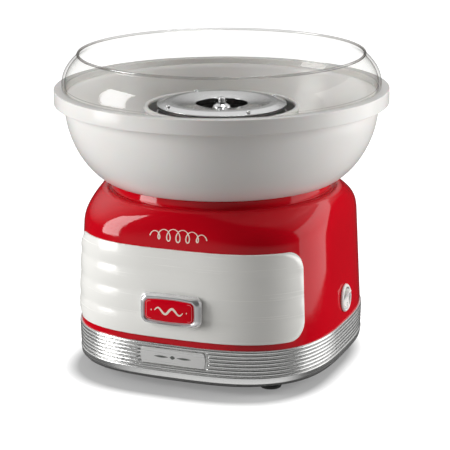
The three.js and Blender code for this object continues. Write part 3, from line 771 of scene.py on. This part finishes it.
def build_switch():
    bezel = turned("switch_bezel_ring", rounded([
        (9.6, 0.3), (12.5, 0.3, 0.3), (12.4, 1.4, 0.8), (11.2, 2.6, 0.8), (9.9, 2.6, 0.4), (9.6, 2.0, 0.3)]),
        around=96)
    moved(bezel, switch_place())
    finish_piece(bezel, "base", "white_gloss", "switch_bezel")
    barrel = turned("switch_barrel", rounded([
        (0, -15), (9.9, -15, 0.4), (9.9, 0.2), (9.3, 0.2), (9.3, -9, 0.3), (0, -9)]), around=64)
    moved(barrel, switch_place())
    finish_piece(barrel, "base", "black_plastic", "switch_body")
    loops = [[(x, y, -4.2) for x, y in rocker_outline(0.42)], [(x, y, 0.4) for x, y in rocker_outline(1.0)]]
    for scale, drop in ((0.99, 2.2), (0.93, 0.9), (0.9, 0.4), (0.87, 0.12), (0.84, 0.02), (0.8, 0), (0.7, 0),
                        (0.6, 0), (0.45, 0), (0.3, 0), (0.12, 0)):
        loops.append([(x, y, rocker_height(x) - drop) for x, y in rocker_outline(scale)])
    rocker = moved(lofted("rocker_cap", loops), rocker_place())
    finish_piece(rocker, "rocker", "white_gloss", "switch_rocker")
    on_mark = mark_strip("rocker_mark_on", [(-5.6, -1.3), (-5.6, 1.3)], 0.28)
    off_mark = mark_strip("rocker_mark_off", [(4.9 + 1.25 * math.cos(TAU * k / 28),
                                               1.25 * math.sin(TAU * k / 28)) for k in range(29)], 0.24)
    for mark in (on_mark, off_mark):
        moved(mark, rocker_place())
        finish_piece(mark, "rocker", "white_gloss", look="mark_ink")


def mark_strip(name, path, half_width):
    """A thin printed line that follows the rocker's top."""
    loops = []
    for i, (x, y) in enumerate(path):
        ahead = Vector(path[min(i + 1, len(path) - 1)]) - Vector(path[max(i - 1, 0)])
        side = Vector((-ahead.y, ahead.x)).normalized() * half_width
        base = rocker_height(x)
        corners = ((side.x, side.y, -0.05), (side.x, side.y, 0.06), (-side.x, -side.y, 0.06),
                   (-side.x, -side.y, -0.05))
        loops.append([(x + dx, y + dy, base + dz) for dx, dy, dz in corners])
    return lofted(name, loops)


def build_gland():
    outline = [(3.3, -7), (4.9, -7), (4.9, 0.3), (8, 0.5, 0.4), (8, 2.4, 0.6), (6.2, 3.4, 0.6)]
    for k in range(3):
        z = 4.2 + k * 1.5
        outline += [(5.2 - k * 0.1, z, 0.2), (5.9 - k * 0.2, z + 0.4, 0.3), (5.8 - k * 0.2, z + 1.0, 0.3)]
    outline += [(4.9, 9, 0.4), (3.3, 9, 0.3)]
    made = turned("cord_gland_ribbed", rounded(outline), around=AROUND_SMALL)
    turn = Matrix.Rotation(-math.pi / 2, 4, "X")
    moved(made, Matrix.Translation((0, housing_half_width(GLAND_Z) + 0.1, GLAND_Z)) @ turn)
    finish_piece(made, "base", "black_plastic", "cord_gland")


# ------------------------------ bowl and guard

def build_bowl():
    low = BOWL_LOW[2]
    outer = bezier((105.5, 166), (118, 173), (138, 196), (138.6, 231.7), 40)
    inner = bezier((136.1, 238), (132.6, 204), (117, 177), (102.5, 169.4), 36)
    floor = bezier((102.5, 169.4), (92, 166.6), (83, 168.4), (76, 177), 18)[1:]
    cone = bezier((76, 177), (71.5, 187), (68.8, 203), (68, 219.5), 18)[1:]
    under = bezier((65.1, 218), (66, 202), (69, 183), (80.5, 166.4), 18)
    outline = rounded([(84, low, 0.4), (96, low, 0.6), (97.5, 165.4, 0.6), (104.4, 165.4, 0.5)])
    outline += outer
    outline += rounded([(138.8, 231.7, 0.4), (BOWL_R, 231.7, 0.5), (BOWL_R, BOWL_TOP, 0.6),
                        (138.4, BOWL_TOP, 0.5), (138.4, 239.2, 0.3), (136.4, 238.6, 0.3)])[5:]
    outline += inner + floor + cone
    outline += rounded([(68, 222.4, 1.2), (69.2, 225.2, 1.0), (68.2, 227.5, 1.0), (65.3, 227.5, 1.0),
                        (64.7, 224.6, 0.8)])
    outline += under
    made = turned("bowl_moulded", outline, around=AROUND, sharp=50)
    finish_piece(made, "bowl", "white_gloss", "bowl")


def build_guard():
    top = GUARD_HIGH[2]
    low = GUARD_LOW[2]
    outside = bezier((140.6, 247), (140.6, 259), (134.8, 265.5), (127.0, 272.9), 28)
    inside = bezier((125.5, 271.6), (132.6, 264.6), (138.2, 258), (138.2, 247), 28)
    outline = rounded([(136.3, low, 0.5), (138.1, low, 0.5), (138.1, BOWL_TOP + 0.3, 0.2),
                       (140.6, BOWL_TOP + 0.3, 0.4)])
    outline += outside
    outline += [(126.3, 273.9), (125.1, 272.9)]
    outline += inside
    outline += rounded([(138.2, 246, 0.8), (136.3, 245.6, 0.5)])
    made = turned("splash_guard_clear", outline, around=AROUND, sharp=60)
    finish_piece(made, "guard", "clear_plastic", "guard")
    bead = [(BEAD_CENTRE_R + BEAD_R * math.cos(a), top - 1.4 + BEAD_R * math.sin(a))
            for a in (TAU * k / 20 for k in range(20))]
    made = turned("splash_guard_bead", bead, around=AROUND, sharp=60)
    finish_piece(made, "guard", "clear_plastic", look="clear_bead")


# ------------------------------ spinning head

def build_head():
    rim = HEAD_R
    cover = turned("head_cover_polished", rounded([
        (23.0, 227.9, 0.3), (44, 230.1, 4), (50.5, 229.7, 3), (54.6, 228.1, 0.5), (rim, 228.1, 0.3),
        (rim, 228.9, 0.3), (55.9, 229.1, 1.0), (50, 230.9, 6), (44, 231.1, 6), (23.0, 228.9, 0.4)]),
        around=160)
    finish_piece(cover, "head", "polished_aluminium", "head_cover")
    pan = turned("head_pan_turned", rounded([
        (7.3, 207, 0.2), (45.5, 207, 2), (48.4, 210.5, 1), (48.5, 226.2, 0.6), (rim, 226.2, 0.3),
        (rim, 227.2, 0.3), (47.5, 227.2, 0.6), (47.3, 210.8, 1.6), (44.8, 208.1, 1.6), (7.3, 208.1, 0.2)]),
        around=160)
    finish_piece(pan, "head", "polished_aluminium", "head_pan", look="pan_aluminium")
    hub = turned("head_hub_turned", rounded([
        (2.9, 204, 0.2), (7, 204, 0.3), (7, 208.4), (9, 208.4, 0.2), (9, 222.8, 1.5), (7.7, 226.4, 1.5),
        (5, 228.2, 1.2), (2.2, 228.6, 0.3), (2, 219)]), around=AROUND_SMALL)
    finish_piece(hub, "head", "polished_aluminium", "head_hub")
    knob = turned("head_knob_turned", rounded([
        (0, 221.8), (1.6, 221.8), (1.6, 228.8), (3.2, 228.8, 0.2), (3.2, 230.3, 0.2), (2.9, 230.6, 0.1),
        (3.25, 230.9, 0.2), (3.25, 233.7, 0.6), (2.0, 234.3, 0.5), (0, 234.3)]), around=AROUND_SMALL)
    finish_piece(knob, "head", "badge_chrome", "head_knob")
    for i, angle in enumerate(RIVET_ANGLES):
        rivet = turned(f"head_rivet_dome_{i + 1}", rounded([
            (0, 224.6), (1.8, 224.6, 0.3), (2.4, 225.2, 0.3), (2.4, 225.9), (1.4, 225.9), (1.4, 230.7),
            (2.1, 230.7, 0.2), (2.0, 231.4, 0.5), (0.9, 231.8, 0.5), (0, 231.8)]), around=24)
        placed(rivet, *polar(RIVET_R, angle))
        finish_piece(rivet, "head", "polished_aluminium", f"head_rivet_{i + 1}")


# ------------------------------ heater and drive

def build_heater():
    low, top = CUP_LOW[2], CUP_HIGH[2]
    floor = low + 1.2
    cup = turned("heater_cup_pressed", rounded([
        (9, low), (66, low, 0.3), (66, floor, 0.4), (58.3, floor, 1.2), (58, top, 0.5), (56.4, top, 0.5),
        (56.6, floor, 2.0), (9, floor, 0.4)]), around=144)
    finish_piece(cup, "base", "sheet_steel", "heater_cup")
    for i, angle in enumerate(CUP_SCREW_ANGLES):
        screw = build_screw(f"cup_screw_head_{i + 1}", 3.0, 1.6, 1.3, 8)
        placed(screw, *polar(CUP_SCREW_R, angle), floor + 0.3)
        finish_piece(screw, "base", "sheet_steel", f"cup_screw_{i + 1}")
    element = element_tube()
    finish_piece(element, "base", "sheet_steel", "heating_element", look="heated_steel")
    for i, angle in enumerate((0, 180, 270)):
        post = turned(f"element_post_{i + 1}", rounded([
            (0, floor + 0.3), (4.6, floor + 0.3, 0.4), (4.6, floor + 2.5, 0.4), (3.4, floor + 3.2, 0.4),
            (3.4, 190.8, 0.5), (0, 191.6)]), around=AROUND_SMALL)
        placed(post, *polar(ELEMENT_R, angle))
        finish_piece(post, "base", "ceramic", f"element_support_{i + 1}")
    for i, angle in enumerate(LEG_ANGLES):
        bush = turned(f"leg_bush_{i + 1}", rounded([
            (2.6, 160, 0.2), (4, 160, 0.3), (4, 165.8), (6, 165.8, 0.4), (6, 168.5, 0.8),
            (2.6, 168.5, 0.4)]), around=AROUND_SMALL)
        placed(bush, *polar(ELEMENT_R, angle))
        finish_piece(bush, "base", "ceramic", f"leg_insulator_{i + 1}")


def element_tube():
    """The ring heater: one tube that goes once round and turns down at both ends."""
    first, last = LEG_ANGLES
    sweep = 360 - (last - first) - 10
    path = [(first, 154), (first, 186), (first - 0.6, 190.5), (first - 2.5, 194.2)]
    path += [(first - 5 - sweep * k / 90, ELEMENT_Z) for k in range(91)]
    path += [(last + 2.5, 194.2), (last + 0.6, 190.5), (last, 186), (last, 154)]
    points = [Vector((*polar(ELEMENT_R, angle), z)) for angle, z in path]
    loops = []
    for i, here in enumerate(points):
        ahead = (points[min(i + 1, len(points) - 1)] - points[max(i - 1, 0)]).normalized()
        out = Vector((here.x, here.y, 0)).normalized()
        side = ahead.cross(out).normalized()
        out = side.cross(ahead).normalized()
        radius = 2.2 if here.z < 187 else 3.1
        loops.append([tuple(here + (out * math.cos(a) + side * math.sin(a)) * radius)
                      for a in (TAU * k / 20 for k in range(20))])
    return lofted("ring_heater_tube", loops)


def build_shaft():
    shaft = turned("motor_shaft_ground", rounded([(0, 66), (2.5, 66, 0.3), (2.5, 217.2, 0.6), (1.6, 218, 0.3),
                                                  (0, 218)]), around=AROUND_SMALL)
    finish_piece(shaft, "rotor", "sheet_steel", "motor_shaft")


# ------------------------------ ornament in place of lettering

def ribbon(name, path, front_y):
    """A thin printed line on a front face: path rows are (x, z, half width), front_y gives the face."""
    loops = []
    for i, (x, z, half) in enumerate(path):
        before, after = path[max(i - 1, 0)], path[min(i + 1, len(path) - 1)]
        side = Vector((before[1] - after[1], after[0] - before[0])).normalized() * half
        edges = ((x + side.x, z + side.y), (x - side.x, z - side.y))
        section = ((edges[0], 0.05), (edges[0], -0.07), (edges[1], -0.07), (edges[1], 0.05))
        loops.append([(px, front_y(px, pz) + lift, pz) for (px, pz), lift in section])
    return lofted(name, loops)


def badge_front(x, z):
    """Y of the badge's red inset at a point of its face."""
    up = z - BADGE_Z
    t = min(max(abs(x) / (INSET_X - 0.3), abs(up) / (INSET_Z - 0.3)), 1)
    return BADGE_HIGH[1] + BADGE_BACK - (INSET_OUT + INSET_CROWN * (1 - t * t))


def front_face(width, n, x):
    """Y of the front of a squared plan at x."""
    return -(width ** n - abs(x) ** n) ** (1 / n)


def housing_front(x, z):
    """Y of the housing's front above the panel."""
    width = look_up(SHOULDER, z, 1) if z > SHOULDER_Z else housing_half_width(z)
    return front_face(width, squareness_at(z), x)


def plate_front(x, z):
    return front_face(RING_W - 0.7, SQUARENESS, x)


def build_loops():
    """A row of plain loops, like a blown sugar thread, on the red front, and a bar mark on the plate."""
    thread = []
    for k in range(LOOP_COUNT * 24 + 1):
        t = k / (LOOP_COUNT * 24)
        turn = TAU * LOOP_COUNT * t
        fade = math.sin(math.pi * min(max(t, 0.03), 0.97)) ** 0.5
        x = LOOP_X + LOOP_HALF_LENGTH * (2 * t - 1) - 3.8 * fade * math.sin(turn)
        thread.append((x, LOOP_Z - 5.4 * fade * math.cos(turn), 0.3 + 0.25 * abs(math.cos(turn / 2))))
    finish_piece(ribbon("front_loops", thread, housing_front), "base", "white_gloss", look="cream_print")
    bars = (("left", -17, -4, 0.8), ("middle", -2.4, 2.4, 1.5), ("right", 4, 17, 0.8))
    for name, start, end, thick in bars:
        bar = [(start + (end - start) * k / 16, PLATE_Z, 0.12 + thick * math.sin(math.pi * k / 16))
               for k in range(17)]
        made = ribbon(f"plate_bar_{name}", bar, plate_front)
        finish_piece(made, "base", "white_gloss", look="mark_ink")


def build_ornament():
    """A plain wave between two dots on the badge, where a name would be, and its thin border line."""
    wave = []
    for k in range(73):
        t = k / 72
        half = 0.25 + 0.75 * math.sin(math.pi * t) ** 0.6
        wave.append((-13 + 26 * t, BADGE_Z + 2.6 * math.sin(t * TAU * 2), half))
    finish_piece(ribbon("badge_wave", wave, badge_front), "base", "white_gloss", look="cream_print")
    for side in (-1, 1):
        dot = [(side * 16.2 + 1.0 * k / 6 - 0.5, BADGE_Z, 0.1 + 0.75 * math.sin(math.pi * k / 6))
               for k in range(7)]
        made = ribbon(f"badge_dot_{'left' if side < 0 else 'right'}", dot, badge_front)
        finish_piece(made, "base", "white_gloss", look="cream_print")
    border = [(x, BADGE_Z + z, 0.16) for x, z in bowed_outline(INSET_X - 1.3, INSET_Z - 1.2, 2.2, 0, 0.8)]
    made = ribbon("badge_border", border + border[:1], badge_front)
    finish_piece(made, "base", "white_gloss", look="pink_print")


# ------------------------------ carried-over nodes

def dress_frame_nodes():
    """CAD nodes that stay on show inside take their slot's procedural material."""
    slots = {row["node"]: row["material_slot"] for row in frame["record"]["subparts"]}
    for name, shown in frame["nodes"].items():
        if shown.data.materials:
            shown.data.materials[0] = MATERIALS[slots[name]]
        else:
            shown.data.materials.append(MATERIALS[slots[name]])


# ------------------------------ stage

def build_floor():
    nodes = new_tree("studio_floor")
    cloud = nodes.ranged(nodes.noise(nodes.coordinates(), 2.5), 0, 1)
    tone = nodes.blend(cloud, (0.34, 0.34, 0.34), (0.38, 0.38, 0.38))
    shader = nodes.add("ShaderNodeBsdfDiffuse", in_Color=tone)
    # The floor's emission dims close to the machine: a painted contact shadow on top of the lamps' real one.
    painted_shadow_strength = nodes.ranged(nodes.squared_radius(SQUARENESS, FLOOR_PAINTED_SHADOW_SHIFT), *FLOOR_GLOW_WITH_PAINTED_SHADOW, *FLOOR_PAINTED_SHADOW)
    painted_shadow_glow = nodes.add("ShaderNodeEmission", in_Strength=painted_shadow_strength)
    both = nodes.add("ShaderNodeAddShader", in_0=shader.outputs[0], in_1=painted_shadow_glow.outputs[0])
    nodes.add("ShaderNodeOutputMaterial", in_0=both.outputs[0])
    half = 4.0
    mesh = bpy.data.meshes.new("studio_floor")
    corners = [(-half, -half, 0), (half, -half, 0), (half, half, 0), (-half, half, 0)]
    mesh.from_pydata(corners, [], [(0, 1, 2, 3)])
    mesh.materials.append(MATERIALS["studio_floor"])
    floor = linked("studio_floor", mesh)
    floor.visible_glossy = False
    floor.visible_diffuse = False


def build_world():
    """White behind the object. What lights and mirrors in it is dim toward the camera and pale overhead."""
    world = bpy.data.worlds.new("studio")
    world.use_nodes = True
    world.node_tree.nodes.clear()
    nodes = Nodes(world.node_tree)
    path = nodes.add("ShaderNodeLightPath")
    direction = nodes.add("ShaderNodeTexCoord").outputs["Generated"]
    towards = nodes.add("ShaderNodeVectorMath", operation="DOT_PRODUCT", in_0=direction,
                        in_1=(0.37, -0.93, 0))
    toward = towards.outputs["Value"]
    parts = nodes.add("ShaderNodeSeparateXYZ", in_Vector=direction)
    around = nodes.ranged(toward, 0.34, 0.03, -0.1, 0.65)
    overhead = nodes.ranged(parts.outputs["Z"], 0, 1, 0.3, 0.9)
    upper = nodes.blend(overhead, around, (0.14, 0.14, 0.14))
    below = nodes.ranged(parts.outputs["Z"], 1, 0, -0.25, 0.02)
    spread = nodes.blend(below, upper, (0.42, 0.41, 0.40))
    rear = nodes.ranged(toward, 1, 0, -0.5, 0.3)
    high = nodes.maths("MULTIPLY", rear, nodes.ranged(parts.outputs["Z"], 0, 1, 0.05, 0.45))
    bounce = nodes.maths("MULTIPLY", nodes.ranged(toward, 0, 1, 0.0, 0.5),
                         nodes.ranged(parts.outputs["Z"], 1, 0, -0.15, 0.05))
    deep = nodes.ranged(parts.outputs["Z"], 0.9, 0.4, -0.65, -0.35)
    level = nodes.blend(bounce, (0.03, 0.03, 0.03), deep)
    mirrored = nodes.blend(high, level, (0.85, 0.85, 0.85))
    lit = nodes.blend(path.outputs["Is Glossy Ray"], spread, mirrored)
    tone = nodes.blend(path.outputs["Is Camera Ray"], lit, (1.0, 1.0, 1.0))
    back = nodes.add("ShaderNodeBackground", in_Color=tone, in_Strength=1.0)
    nodes.add("ShaderNodeOutputWorld", in_0=back.outputs[0])
    bpy.context.scene.world = world


def softbox(name, place, target, width, height, power, mirrored=True):
    """A rectangular light, in metres and watts, that faces a point."""
    data = bpy.data.lights.new(name, "AREA")
    data.shape = "RECTANGLE"
    data.size = width
    data.size_y = height
    data.energy = power
    made = linked(name, data)
    made.location = place
    made.rotation_euler = (Vector(target) - Vector(place)).to_track_quat("-Z", "Y").to_euler()
    made.visible_glossy = mirrored
    return made


def build_lights():
    """Softboxes at the left front, the right rear and above; the two at the sides have a hidden fill."""
    softbox("left_softbox", (-1.02, -0.64, 0.42), (0, 0, 0.14), 0.50, 0.95, 11.5)
    softbox("left_fill", (-0.95, -0.95, 0.55), (0, 0, 0.14), 0.8, 0.8, 5, mirrored=False)
    softbox("right_softbox", (1.06, 0.56, 0.32), (0, 0, 0.14), 1.05, 1.15, 5)
    softbox("right_fill", (1.15, 0.5, 0.35), (0, 0, 0.14), 0.9, 0.9, 15, mirrored=False)
    softbox("overhead_softbox", (0.10, 0.25, 1.3), (0, 0, 0.2), 0.35, 0.35, 3.5)


def build_camera():
    """The camera that the outlines were fitted to, in metres and degrees."""
    data = bpy.data.cameras.new("camera")
    data.sensor_width = 36
    data.lens = CAMERA_LENS
    made = linked("camera", data)
    made.location = CAMERA_PLACE
    turn = Matrix.Rotation(math.radians(CAMERA_TURN), 4, "Z")
    turn = turn @ Matrix.Rotation(math.radians(90 - CAMERA_DOWN), 4, "X")
    made.rotation_euler = (turn @ Matrix.Rotation(math.radians(CAMERA_ROLL), 4, "Z")).to_euler()
    bpy.context.scene.camera = made


make_materials()
build_camera()
build_floor()
build_world()
build_lights()
build_housing()
build_trim_ring()
build_front_panel()
build_name_plate()
build_badge()
build_ornament()
build_loops()
build_base_pan()
build_feet()
build_switch()
build_gland()
build_bowl()
build_guard()
build_head()
build_heater()
build_shaft()
dress_frame_nodes()
bpy.context.scene.view_settings.view_transform = "Standard"
